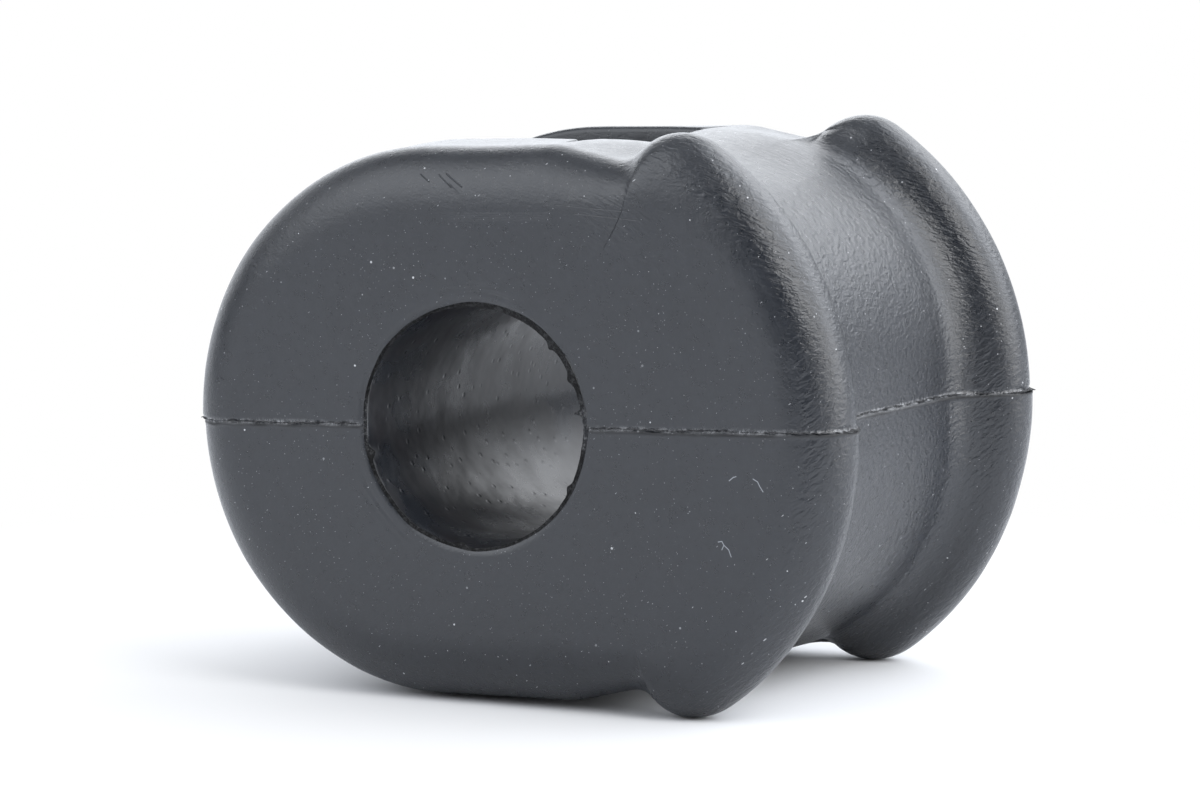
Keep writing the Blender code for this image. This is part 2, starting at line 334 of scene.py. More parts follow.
def half_block():
    """The block's quarter with Y and Z positive, as a grid [ray, chain point] of positions.

    Also returns the length along the outline of each ray and the kind of each chain point.
    """
    # Rays from the spine to the outline
    points, length_along = outline_stations()
    spine_x = np.clip(points[:, 0], NOSE_CENTRE_X, RIM_CENTRE_X)
    along = points - rows_of(spine_x, 0.0 * spine_x)
    high = np.hypot(along[:, 0], along[:, 1])
    along = along / high[:, None]
    upright = along[:, 1:]
    crest_y = LENGTH / 2 - ROUNDING_LENGTH

    # Wall of the groove towards the nose, and of the saddle towards the rim
    share = smooth((GROOVE_END_X - points[:, 0]) / GROOVE_END_RUN)[:, None, None]
    side = groove_side(along, high) * share + saddle_side(spine_x, along, high, crest_y) * (1.0 - share)
    off_groove = 1.0 - share[..., 0]

    # Land from mid length to the wall, and crest from the wall to the rounding
    steps = np.linspace(0.0, 1.0, LAND_POINTS + 1)[:-1]
    land = rows_of(side[:, :1, 0] * steps, side[:, :1, 1])
    steps = np.linspace(0.0, 1.0, CREST_POINTS + 1)[1:-1]
    last_y = side[:, -1:, 0]
    crest = rows_of(last_y + (crest_y - last_y) * steps, high[:, None])

    # Dip of the saddle at mid length
    on_saddle = off_groove * grown(upright, *DIP_UPRIGHT)
    for part in (land, side):
        middle = 1.0 - smooth(part[..., 0] / SADDLE_DIP_RUN)
        part[..., 1] -= SADDLE_DIP * middle * on_saddle

    # Rise of the flange's top, which the end of the saddle shares
    rise = smooth((LAND_RISE_END_X - points[:, :1]) / LAND_RISE_END_X)
    rise = rise * grown(upright, *RISE_UPRIGHT)
    on_flange = np.concatenate([np.zeros(FOOT_POINTS + WALL_POINTS), np.ones(LIP_POINTS)])
    on_top = np.maximum(on_flange, off_groove)
    land[..., 1] += LAND_RISE * rise * off_groove
    side[..., 1] += land_rise(side[..., 0], crest_y) * rise * on_top
    crest[..., 1] += land_rise(crest[..., 0], crest_y) * rise

    # Rounding, wider on the flats, whose inner end follows a softened outline
    flat = FLAT_HALF_HEIGHT / np.maximum(along[:, 1], 0.01)
    shared = np.exp(-flat / CORNER_SOFTNESS) + np.exp(-RIM_RADIUS / CORNER_SOFTNESS)
    on_flat = grown(along[:, 1], *ROUNDING_UPRIGHT)
    width = ROUNDING_WIDTH + (FLAT_ROUNDING_WIDTH - ROUNDING_WIDTH) * on_flat
    softened = np.where(along[:, 0] > 0.0, -CORNER_SOFTNESS * np.log(shared), FLAT_HALF_HEIGHT)
    inner = (softened - width)[:, None]
    turn = np.linspace(0.0, pi / 2, ROUNDING_POINTS)
    rounding_reach = inner + (high[:, None] - inner) * np.cos(turn)
    rounding = rows_of(crest_y + ROUNDING_LENGTH * np.sin(turn), rounding_reach)

    # End face, mouth of the bore and bore
    bore = reach_to_circle(spine_x, along, BORE_RADIUS)[:, None]
    edge = reach_to_circle(spine_x, along, BORE_RADIUS + EDGE_WIDTH)[:, None]
    face_steps = 1.0 - (1.0 - np.linspace(0.0, 1.0, FACE_POINTS + 1)[1:]) ** FACE_CROWDING
    face = rows_of(LENGTH / 2, inner + (edge - inner) * face_steps)
    depth = np.array([row[2] for row in MOUTH_PROFILE])
    mouth = rows_of(LENGTH / 2 - depth, bore)
    steps = np.linspace(1.0, 0.0, BORE_POINTS + 1)[1:]
    wall = rows_of((LENGTH / 2 - depth[-1]) * steps, bore)
    parts = [land, side, crest, rounding, face, mouth, wall]
    chain = np.concatenate(parts, 1)
    kinds = np.concatenate([np.full(part.shape[1], kind) for kind, part in enumerate(parts)])

    # Place in space, with the valley's lean
    near_valley = np.exp(-(((points[:, :1] - VALLEY_X) / VALLEY_LEAN_WIDTH) ** 2))
    near_valley = near_valley * (points[:, 1:] > FLAT_HALF_HEIGHT / 2)
    lean = np.zeros(chain.shape[1])
    lean[kinds == KIND_ROUNDING] = np.sqrt(1.0 - np.cos(turn))
    lean[kinds == KIND_FACE] = smooth(1.0 - face_steps)
    x = spine_x[:, None] + along[:, :1] * chain[..., 1] + VALLEY_LEAN * near_valley * lean
    return rows_of(x, chain[..., 0], upright * chain[..., 1]), length_along, kinds


def whole_block():
    """The whole block as a grid that closes both ways: rings of rays, loops of chain points.

    The lower half and its ears stand a little off the upper half's mirror image.
    """
    quarter, length_along, kinds = half_block()
    upper = quarter.copy()
    lower = quarter[1:-1][::-1] * np.array([1.0, 1.0, -1.0])
    shift = MOULD_SHIFT * smooth(np.abs(quarter[..., 2]) / MOULD_SHIFT_RUN)
    on_outside = (kinds < KIND_MOUTH)[None, :]
    upper[..., 0] -= shift * on_outside
    lower[..., 0] += shift[1:-1][::-1] * on_outside
    near_ear = np.exp(-(((lower[..., 0] - LOWER_EAR_X) / LOWER_EAR_WIDTH) ** 2))
    near_ear = near_ear * grown(-lower[..., 2], LOWER_EAR_START, LOWER_EAR_RUN)
    lower[..., 0] += LOWER_EAR_SHIFT[0] * near_ear
    lower[..., 2] += LOWER_EAR_SHIFT[1] * near_ear
    ring = np.concatenate([upper, lower])
    around = np.concatenate([length_along, 2 * length_along[-1] - length_along[1:-1][::-1]])
    mirrored = ring[:, 1:-1][:, ::-1] * np.array([1.0, -1.0, 1.0])
    grid = np.concatenate([ring, mirrored], 1)
    all_kinds = np.concatenate([kinds, kinds[1:-1][::-1]])
    return grid, around, all_kinds


def grid_normals(grid):
    """Outward direction at each point of a grid that closes both ways."""
    across = np.roll(grid, -1, 0) - np.roll(grid, 1, 0)
    down = np.roll(grid, -1, 1) - np.roll(grid, 1, 1)
    normal = np.cross(down, across)
    return normal / np.maximum(np.linalg.norm(normal, axis=-1, keepdims=True), 1e-9)


def grid_mesh(name, grid, attributes, uv):
    """Mesh from a grid that closes both ways, with values per point and UVs in millimetres."""
    rays, links = grid.shape[:2]
    i, j = np.meshgrid(np.arange(rays), np.arange(links), indexing="ij")
    right = (i + 1) % rays
    down = (j + 1) % links
    faces = rows_of(i * links + j, right * links + j, right * links + down, i * links + down)
    mesh = bpy.data.meshes.new(name)
    mesh.from_pydata(grid.reshape(-1, 3) * MM, [], faces.reshape(-1, 4).tolist())
    for key, values in attributes.items():
        layer = mesh.attributes.new(key, "FLOAT", "POINT")
        layer.data.foreach_set("value", values.astype(np.float32).ravel())
    corners_u = rows_of(i, i + 1, i + 1, i)
    corners_v = rows_of(j, j, j + 1, j + 1)
    layer = mesh.uv_layers.new(name="UVMap")
    u_line = np.append(uv[0], uv[2])
    coordinates = rows_of(u_line[corners_u], uv[1][corners_v]).reshape(-1)
    layer.data.foreach_set("uv", coordinates.astype(np.float32))
    mesh.shade_smooth()
    mesh.update()
    return mesh


# Ridge on the parting line and the crack under it
SEAM_WIDTH = 0.19
RIDGE_SHARE = 0.35
CRACK_Z = -0.30
CRACK_WIDTH = 0.15
CRACK_DEPTH = 0.10


def seam_profile(grid, kinds):
    """Ridge on the parting line and the crack under it, from 0 to 1 at each grid point."""
    flat = grid * np.array([1.0, 1.0, 0.0])
    z = grid[..., 2] - 0.06 * point_noise(flat, 1.3, SEED)
    width = SEAM_WIDTH + 0.06 * point_noise(flat, 1.4, SEED + 1)
    outside = (kinds < KIND_MOUTH)[None, :]
    ridge = np.exp(-(np.abs(z / width) ** 2.2)) * outside
    crack = np.exp(-(((z - CRACK_Z) / CRACK_WIDTH) ** 2)) * outside
    crack = crack * (0.75 + 0.35 * point_noise(flat, 1.7, SEED + 4))
    return ridge, crack


# Spots where the flash stands out as a torn fin: x, y, reach along the seam, extra height
FINS = (
    (-30.0, -18.4, 1.3, 0.75),
    (-30.0, 18.2, 1.6, 0.45),
    (35.1, -18.4, 0.9, 0.65),
    (35.1, 18.6, 1.5, 0.85),
    (-26.0, 3.0, 2.0, 0.25),
)


def seam_height(grid):
    """Height of the seam along the parting line, broken and uneven."""
    flat = grid * np.array([1.0, 1.0, 0.0])
    coarse = point_noise(flat, 2.3, SEED + 2)
    fine = point_noise(flat, 0.55, SEED + 3)
    height = np.clip(0.15 + 0.09 * coarse + 0.09 * fine, 0.02, 0.4)
    for x, y, reach, extra in FINS:
        away = np.hypot(grid[..., 0] - x, grid[..., 1] - y) / reach
        height = height + extra * np.exp(-(away**2)) * (0.75 + 0.45 * fine)
    return height


# Shreds that hang into the bore from its front end: angle in degrees, reach, width in degrees
SHREDS = (
    (7.0, 0.75, 1.0),
    (23.0, 0.35, 2.5),
    (41.0, 0.30, 2.0),
    (194.0, 0.55, 2.6),
    (262.0, 0.30, 3.0),
    (331.0, 0.30, 2.2),
)


def shape_mouths(grid, kinds):
    """Set the flash round both ends of the bore: a torn strip outside it and a lip inside."""
    columns = np.flatnonzero(kinds == KIND_MOUTH)
    count = len(MOUTH_PROFILE)
    for side, chosen in ((1.0, columns[:count]), (-1.0, columns[count:][::-1])):
        for (out_share, back_share, depth), column in zip(MOUTH_PROFILE, chosen):
            place = grid[:, column]
            angle = np.arctan2(place[:, 2], place[:, 0])

            # Noise round the bore, another one at each end
            ring = rows_of(BORE_RADIUS * np.cos(angle), side * 30.0, BORE_RADIUS * np.sin(angle))
            fine = point_noise(ring, 0.42, SEED + 20)
            coarse = point_noise(ring, 2.2, SEED + 21)

            # Outer edge of the torn strip and tip of the lip, from the bore's radius outwards
            right = np.clip(np.cos(angle - 0.4), 0.0, 1.0) ** 1.2
            top = np.clip(np.sin(angle), 0.0, 1.0) ** 2
            bottom = np.clip(-np.sin(angle), 0.0, 1.0) ** 2
            outer = 0.10 + 0.62 * right - 0.42 * top - 0.10 * bottom + 0.12 * coarse
            tip = -0.07 + 0.10 * right - 0.50 * top - 0.22 * bottom + 0.10 * coarse + 0.05 * fine
            if side < 0.0:
                for degrees, reach, width in SHREDS:
                    off = np.degrees(angle) - degrees
                    off = (off + 180.0) % 360.0 - 180.0
                    tip = tip - reach * np.exp(-((off / width) ** 2))
            tip = np.minimum(tip, outer - 0.05)

            # Points of this row of the profile
            radius = BORE_RADIUS + tip + (outer - tip) * out_share - tip * back_share
            rough = 0.05 * fine * (0.0 < depth < 0.5)
            level = LENGTH / 2 - depth + rough
            grid[:, column] = rows_of(radius * np.cos(angle), side * level, radius * np.sin(angle))


# Thin raised lines pressed into the end face round the bore: radius, first and last angle
LIP_LINES = (
    (12.15, 195.0, 250.0),
    (12.75, 204.0, 238.0),
    (12.05, 62.0, 112.0),
    (12.50, 74.0, 98.0),
)
LIP_LINE_HEIGHT = 0.07
LIP_LINE_WIDTH = 0.10


def lip_lines(grid, kinds):
    """Height of the faint rings that the bore's core pin left on the front face."""
    angle = np.degrees(np.arctan2(grid[..., 2], grid[..., 0])) % 360.0
    radius = np.hypot(grid[..., 0], grid[..., 2]) + 0.10 * point_noise(grid, 2.0, SEED + 22)
    height = 0.0
    for line_radius, first, last in LIP_LINES:
        within = smooth((angle - first) / 8.0) * smooth((last - angle) / 8.0)
        height = height + within * np.exp(-(((radius - line_radius) / LIP_LINE_WIDTH) ** 2))
    broken = 0.6 + 0.5 * point_noise(grid, 0.9, SEED + 23)
    on_front = (kinds == KIND_FACE)[None, :] & (grid[..., 1] < 0.0)
    return LIP_LINE_HEIGHT * height * np.clip(broken, 0.0, 1.0) * on_front


# Unevenness of the surface: height, size of the bumps and seed of each noise
WIDE_WAVES = ((0.05, 9.0, 10), (0.03, 4.5, 11))
SMALL_WAVES = ((0.010, 1.6, 12),)
BORE_WAVES = ((0.045, 4.0, 13),)


def add_uneven_surface(grid, kinds):
    """The grid moved along its normals, with the values of the seam's ridge and crack."""
    normal = grid_normals(grid)
    wide = layered_noise(grid, WIDE_WAVES)
    small = layered_noise(grid, SMALL_WAVES)
    in_bore = np.broadcast_to((kinds >= KIND_MOUTH)[None, :], grid.shape[:2])
    bore = layered_noise(grid * np.array([1.0, 0.4, 1.0]), BORE_WAVES)
    move = np.where(in_bore, bore + 0.3 * small, wide + small)
    ridge, crack = seam_profile(grid, kinds)
    move = move + ridge * RIDGE_SHARE * seam_height(grid) - CRACK_DEPTH * crack
    move = np.where((kinds == KIND_MOUTH)[None, :], 0.0, move + lip_lines(grid, kinds))
    return grid + normal * move[..., None], ridge, crack


def block_piece(materials):
    """The block as an object with its skin, bore and torn materials, in this order."""
    grid, around, kinds = whole_block()
    shape_mouths(grid, kinds)
    formed, ridge, crack = add_uneven_surface(grid, kinds)
    links = np.concatenate([[0.0], np.cumsum(np.linalg.norm(np.diff(grid[0], axis=0), axis=1))])
    closing = links[-1] + np.linalg.norm(grid[0, 0] - grid[0, -1])
    attributes = {"seam": ridge, "crack": np.clip(crack, 0.0, 1.0)}
    uv = (around, np.append(links, closing), around[-1] + (around[1] - around[0]))
    mesh = grid_mesh("moulded_rubber", formed, attributes, uv)
    for material in materials:
        mesh.materials.append(material)
    in_bore = kinds > KIND_MOUTH
    torn = kinds == KIND_MOUTH
    columns = np.flatnonzero(torn)
    torn[columns[TORN_ROWS:-TORN_ROWS]] = False
    in_bore[columns[TORN_ROWS:-TORN_ROWS]] = True
    on_face = (kinds < KIND_MOUTH) | (np.roll(kinds, -1) < KIND_MOUTH)
    slot_of_column = np.where(on_face, 0, np.where(torn | np.roll(torn, -1), 2, 1 * in_bore))
    slots = np.broadcast_to(slot_of_column.astype(np.int32)[None, :], ridge.shape)
    mesh.polygons.foreach_set("material_index", slots.ravel())
    body = bpy.data.objects.new("moulded_rubber", mesh)
    bpy.context.scene.collection.objects.link(body)
    return body, formed, kinds


# Torn flash along the parting line: spacing of its points and depth of its root
FLASH_STEP = 0.08
FLASH_ROOT = 0.12
FLASH_HEIGHT = 0.16
FLASH_WIDTH = 0.05

# Section of the flash, point by point: place across, share of the height, share of the lean
FLASH_SECTION = (
    (-1.6, 0.0, 0.0),
    (-0.7, 0.75, 0.7),
    (0.0, 1.0, 1.0),
    (0.7, 0.6, 0.7),
    (1.6, 0.0, 0.0),
)

# Noises along the flash: height, size of the bumps and seed of each
FLASH_TEARS = ((0.55, 0.25, 30), (0.6, 1.1, 31))
FLASH_WAVES = ((0.05, 4.0, 32),)
FLASH_WANDER = ((0.09, 2.6, 33), (0.05, 0.4, 34))
FLASH_LEAN = ((0.25, 1.5, 35),)
FLASH_THICKENING = ((0.025, 0.7, 36),)


def flash_strip(path):
    """Torn fin on the parting line, as rings of points along a path on the block's skin."""
    steps = np.linalg.norm(np.diff(path, axis=0), axis=1)
    reach = np.concatenate([[0.0], np.cumsum(steps)])
    place = np.arange(0.0, reach[-1], FLASH_STEP)
    line = rows_of(place, 0.0 * place, 0.0 * place)
    centre = rows_of(*(np.interp(place, reach, path[:, axis]) for axis in range(3)))

    # Direction out of the block at each point
    along = np.gradient(centre, axis=0)
    out = np.cross(along, np.array([0.0, 0.0, 1.0]))
    out = out / np.linalg.norm(out, axis=1, keepdims=True)
    outward = np.sign(np.sum(out * (centre - path.mean(0)), axis=1).mean())
    out = out * outward

    # Height, lean and width of the fin at each point
    torn = layered_noise(line, FLASH_TEARS)
    height = FLASH_HEIGHT + FLASH_HEIGHT * torn + layered_noise(line, FLASH_WAVES)
    for x, y, size, extra in FINS:
        away = np.hypot(centre[:, 0] - x, centre[:, 1] - y) / size
        height = height + extra * np.exp(-(away**2)) * (0.8 + 0.35 * torn)
    height = np.maximum(height, -0.03)
    wander = layered_noise(line, FLASH_WANDER)
    lean = wander + height * (layered_noise(line, FLASH_LEAN) - 0.1)
    width = FLASH_WIDTH + layered_noise(line, FLASH_THICKENING)

    # Rings, sunk into the block at both ends
    ends = smooth(np.minimum(place, place[-1] - place) / 0.3)
    up = np.array([0.0, 0.0, 1.0])
    rings = []
    for across, lift, follow in FLASH_SECTION:
        level = (height + FLASH_ROOT) * lift - FLASH_ROOT
        level = level * ends - 0.05 * (1.0 - ends)
        sideways = (across * width + wander + (lean - wander) * follow) * ends
        rings.append(centre + out * level[:, None] + up * sideways[:, None])
    return np.stack(rings, 1)


def strip_mesh(name, strips):
    """Closed mesh from strips, each a grid [step, point of the section]."""
    points, faces = [], []
    for strip in strips:
        base = len(points)
        steps, around = strip.shape[:2]
        points += strip.reshape(-1, 3).tolist()
        for i in range(steps - 1):
            for j in range(around):
                k = (j + 1) % around
                low = base + i * around
                faces.append((low + j, low + k, low + around + k, low + around + j))
        faces.append(tuple(base + j for j in reversed(range(around))))
        faces.append(tuple(base + (steps - 1) * around + j for j in range(around)))
    mesh = bpy.data.meshes.new(name)
    mesh.from_pydata([tuple(value * MM for value in point) for point in points], [], faces)
    mesh.update()
    sheet = bmesh.new()
    sheet.from_mesh(mesh)
    bmesh.ops.recalc_face_normals(sheet, faces=sheet.faces)
    sheet.to_mesh(mesh)
    sheet.free()
    mesh.shade_smooth()
    return mesh


def flash_piece(formed, kinds, material):
    """Flash on the parting line round the nose and round the rim, from bore to bore."""
    outside = np.flatnonzero(kinds < KIND_MOUTH)
    gap = np.flatnonzero(np.diff(outside) > 1)[0] + 1
    order = np.concatenate([outside[gap:], outside[:gap]])
    half = formed.shape[0] // 2
    strips = [flash_strip(formed[0, order]), flash_strip(formed[half, order])]
    mesh = strip_mesh("parting_line_flash", strips)
    mesh.materials.append(material)
    piece = bpy.data.objects.new("parting_line_flash", mesh)
    bpy.context.scene.collection.objects.link(piece)
    return piece


# Colours of the materials

SKIN_DARK = (0.0055, 0.0072, 0.0110, 1.0)
SKIN_LIGHT = (0.0095, 0.0122, 0.0178, 1.0)
SKIN_FILM = (0.020, 0.024, 0.032, 1.0)
BORE_WARM = (0.022, 0.018, 0.021, 1.0)
BORE_COOL = (0.010, 0.015, 0.025, 1.0)
# Pale of the seam's ridge: partly torn rubber, partly a painted highlight
SEAM_PALE_AND_HIGHLIGHT = (0.26, 0.265, 0.275, 1.0)
# Painted shade: near black in the crack under the seam's ridge
CRACK_PAINTED_SHADE = (0.004, 0.004, 0.005, 1.0)
FLASH_BLACK = (0.006, 0.006, 0.007, 1.0)
FLASH_GREY = (0.040, 0.042, 0.047, 1.0)
# Pale edge of the flash: partly dust, partly a painted highlight
FLASH_PALE_AND_HIGHLIGHT = (0.24, 0.245, 0.255, 1.0)
DUST_PALE = (0.55, 0.56, 0.58, 1.0)
LINT_PALE = (0.34, 0.36, 0.39, 1.0)
FLOOR_PALE = (0.80, 0.81, 0.83, 1.0)
WHITE = (1.0, 1.0, 1.0, 1.0)


class Nodes:
    """Short calls to add nodes to the emptied tree of a material or the world."""

    def __init__(self, owner):
        owner.use_nodes = True
        self.tree = owner.node_tree
        self.tree.nodes.clear()

    def add(self, kind, inputs=None, **settings):
        node = self.tree.nodes.new(kind)
        for key, value in settings.items():
            setattr(node, key, value)
        for key, value in (inputs or {}).items():
            self.put(node.inputs[key], value)
        return node

    def put(self, socket, value):
        if isinstance(value, bpy.types.NodeSocket):
            self.tree.links.new(value, socket)
        else:
            socket.default_value = value

    def math(self, operation, a, b=0.0, clamp=False):
        node = self.add("ShaderNodeMath", {0: a, 1: b}, operation=operation, use_clamp=clamp)
        return node.outputs[0]

    def sum(self, first, *others):
        for other in others:
            first = self.math("ADD", first, other)
        return first

    def product(self, first, *others):
        for other in others:
            first = self.math("MULTIPLY", first, other)
        return first

    def span(self, value, low, high, out_low=0.0, out_high=1.0):
        node = self.add("ShaderNodeMapRange", {0: value, 1: low, 2: high, 3: out_low, 4: out_high})
        return node.outputs[0]

    def noise(self, vector, scale, detail=2.0, roughness=0.5, distortion=0.0):
        inputs = {"Vector": vector, "Scale": scale, "Detail": detail}
        inputs.update({"Roughness": roughness, "Distortion": distortion})
        return self.add("ShaderNodeTexNoise", inputs).outputs[0]

    def stretch(self, vector, scale):
        return self.add("ShaderNodeMapping", {"Vector": vector, "Scale": scale}).outputs[0]

    def split(self, vector):
        return self.add("ShaderNodeSeparateXYZ", {0: vector}).outputs

    def place(self):
        return self.add("ShaderNodeTexCoord").outputs["Object"]

    def place_mm(self):
        return self.stretch(self.place(), (1000.0, 1000.0, 1000.0))

    def turned(self, vector, degrees, scale):
        """Coordinates turned about Y, then stretched: long in the first, fine in the third."""
        a = radians(degrees)
        rows = ((cos(a), 0.0, sin(a)), (0.0, 1.0, 0.0), (-sin(a), 0.0, cos(a)))
        node = self.add("ShaderNodeCombineXYZ")
        for i, row in enumerate(rows):
            scaled = tuple(value * scale[i] for value in row)
            part = self.add("ShaderNodeVectorMath", {0: vector, 1: scaled}, operation="DOT_PRODUCT")
            self.put(node.inputs[i], part.outputs["Value"])
        return node.outputs[0]

    def segment(self, x, z, start, end, width):
        """Mask of a line from start to end in X and Z: 1 on it, 0 at this distance from it."""
        length = sqrt((end[0] - start[0]) ** 2 + (end[1] - start[1]) ** 2)
        ux = (end[0] - start[0]) / length
        uz = (end[1] - start[1]) / length
        dx = self.math("SUBTRACT", x, start[0])
        dz = self.math("SUBTRACT", z, start[1])
        along = self.sum(self.product(dx, ux), self.product(dz, uz))
        across = self.math("SUBTRACT", self.product(dz, ux), self.product(dx, uz))
        inside = self.math("MINIMUM", self.math("MAXIMUM", along, 0.0), length)
        past = self.math("POWER", self.math("SUBTRACT", along, inside), 2.0)
        away = self.math("SQRT", self.sum(past, self.math("POWER", across, 2.0)))
        return self.span(away, width, 0.0)

    def blend(self, factor, a, b):
        node = self.add("ShaderNodeMix", data_type="FLOAT")
        self.put(node.inputs[0], factor)
        self.put(node.inputs[2], a)
        self.put(node.inputs[3], b)
        return node.outputs[0]

    def mix(self, factor, a, b):
        node = self.add("ShaderNodeMix", data_type="RGBA")
        self.put(node.inputs["Factor"], factor)
        self.put(node.inputs["A"], a)
        self.put(node.inputs["B"], b)
        return node.outputs["Result"]

    def attribute(self, name):
        return self.add("ShaderNodeAttribute", attribute_name=name).outputs["Fac"]

    def end(self, kind, socket):
        """Output node of this kind, fed by the socket."""
        self.put(self.add(kind).inputs["Surface"], socket)

    def end_rubber(self, colour, roughness, specular, height):
        """Rubber's shader with a bump from heights in millimetres, and the output."""
        bump = self.add("ShaderNodeBump", {"Strength": 1.0, "Distance": MM, "Height": height})
        inputs = {"Base Color": colour, "Roughness": roughness}
        inputs.update({"Specular IOR Level": specular, "Normal": bump.outputs[0]})
        shader = self.add("ShaderNodeBsdfPrincipled", inputs)
        self.end("ShaderNodeOutputMaterial", shader.outputs[0])


# Scratches and creases in the front face: first end and last end (x, z), half width, depth
SCRATCHES = (
    ((-4.73, 22.03), (-3.75, 21.40), 0.07, -0.05),
    ((-2.89, 22.01), (-1.40, 20.90), 0.07, -0.06),
    ((-2.18, 22.10), (-0.35, 20.95), 0.08, -0.07),
    ((-1.60, 21.20), (-0.60, 20.45), 0.05, -0.03),
    ((9.20, 19.35), (16.20, 18.75), 0.07, -0.04),
    ((11.00, 18.60), (17.20, 18.00), 0.06, -0.035),
)

# Fine raised lines, level in the front face: z of each, first and last x, half width, height
LEVEL_LINES = (18.62, 18.40, 18.22, 18.02)
LINES_FROM = -3.5
LINES_TO = 9.5
LINE_WIDTH = 0.10
LINE_HEIGHT = 0.012

# Pale lint on the front face: ends of each short stretch (x, z)
LINT = (
    ((24.06, -9.46), (24.42, -9.40)),
    ((24.42, -9.40), (24.60, -9.72)),
    ((24.60, -9.72), (24.40, -10.12)),
    ((24.60, -9.72), (25.05, -10.10)),
    ((25.05, -10.10), (25.27, -10.70)),
    ((27.58, -3.97), (28.00, -4.20)),
    ((28.00, -4.20), (28.22, -4.62)),
    ((28.22, -4.62), (28.50, -5.05)),
    ((25.30, -4.18), (25.66, -3.90)),
    ((25.66, -3.90), (25.96, -3.80)),
)
LINT_WIDTH = 0.055

# Layers of dust: stretch, specks per millimetre, largest size of a speck as a share of its
# cell, share of the cells left empty, strongest cover. The last layer makes short threads.
ROUND = (1.0, 1.0, 1.0)
DUST_LAYERS = (
    (ROUND, 0.80, 0.085, 0.45, 1.00),
    (ROUND, 1.8, 0.115, 0.40, 0.80),
    (ROUND, 3.6, 0.160, 0.50, 0.40),
    ((0.6, 1.0, 2.4), 1.0, 0.120, 0.70, 0.75),
)
THREAD_TURN = 37.0


def dust(n, mm, colour):
    """The colour with dust over it: bright specks, smaller ones, short threads and lint."""
    for stretch, scale, size, rarity, share in DUST_LAYERS:
        vector = n.turned(mm, THREAD_TURN, stretch)
        cells = n.add("ShaderNodeTexVoronoi", {"Vector": vector, "Scale": scale, "Randomness": 1.0})
        chance = n.add("ShaderNodeSeparateColor", {0: cells.outputs["Color"]}).outputs
        near = n.math("LESS_THAN", cells.outputs["Distance"], n.product(chance[1], size))
        picked = n.math("GREATER_THAN", chance[0], rarity)
        speck = n.product(near, picked, n.product(chance[2], share))
        colour = n.mix(speck, colour, DUST_PALE)
    x, y, z = n.split(mm)
    lint = 0.0
    for start, end in LINT:
        lint = n.math("MAXIMUM", lint, n.segment(x, z, start, end, LINT_WIDTH))
    on_front = n.span(y, -21.5, -22.0)
    return n.mix(n.product(lint, on_front), colour, LINT_PALE)


def face_marks(n, x, y, z):
    """Height in millimetres of the scratches, creases and fine lines in the front face."""
    height = 0.0
    for start, end, width, depth in SCRATCHES:
        height = n.sum(height, n.product(n.segment(x, z, start, end, width), depth))
    within = n.product(n.span(x, LINES_FROM, LINES_FROM + 3.0), n.span(x, LINES_TO, LINES_TO - 1.5))
    for level in LEVEL_LINES:
        off = n.math("ABSOLUTE", n.math("SUBTRACT", z, level))
        line = n.product(n.span(off, LINE_WIDTH, 0.0), within)
        height = n.sum(height, n.product(line, LINE_HEIGHT))
    on_front = n.span(y, -17.0, -19.0)
    return n.product(height, on_front)


# Depth in millimetres of each texture of the skin
WRINKLES_ON_EARS = 0.115
WRINKLES_ON_FACES = 0.018
WRINKLES_ELSEWHERE = 0.020
GRAIN_DEPTH = 0.036
ARCH_DEPTH = 0.11
STREAK_DEPTH = 0.02
MOTTLE_DEPTH = 0.03

# Turn in degrees of the wrinkles on the upper and lower ears, and how finely they run
UPPER_WRINKLE_TURN = -18.0
LOWER_WRINKLE_TURN = 36.0
WRINKLE_STRETCH = (0.9, 1.6, 3.0)

# Arched wrinkles under the valley: centre of the arches, and middle and reach of the patch
ARCH_CENTRE = (8.0, 6.0)
ARCH_PATCH = (14.5, 18.5)
ARCH_REACH = (5.0, 3.6)


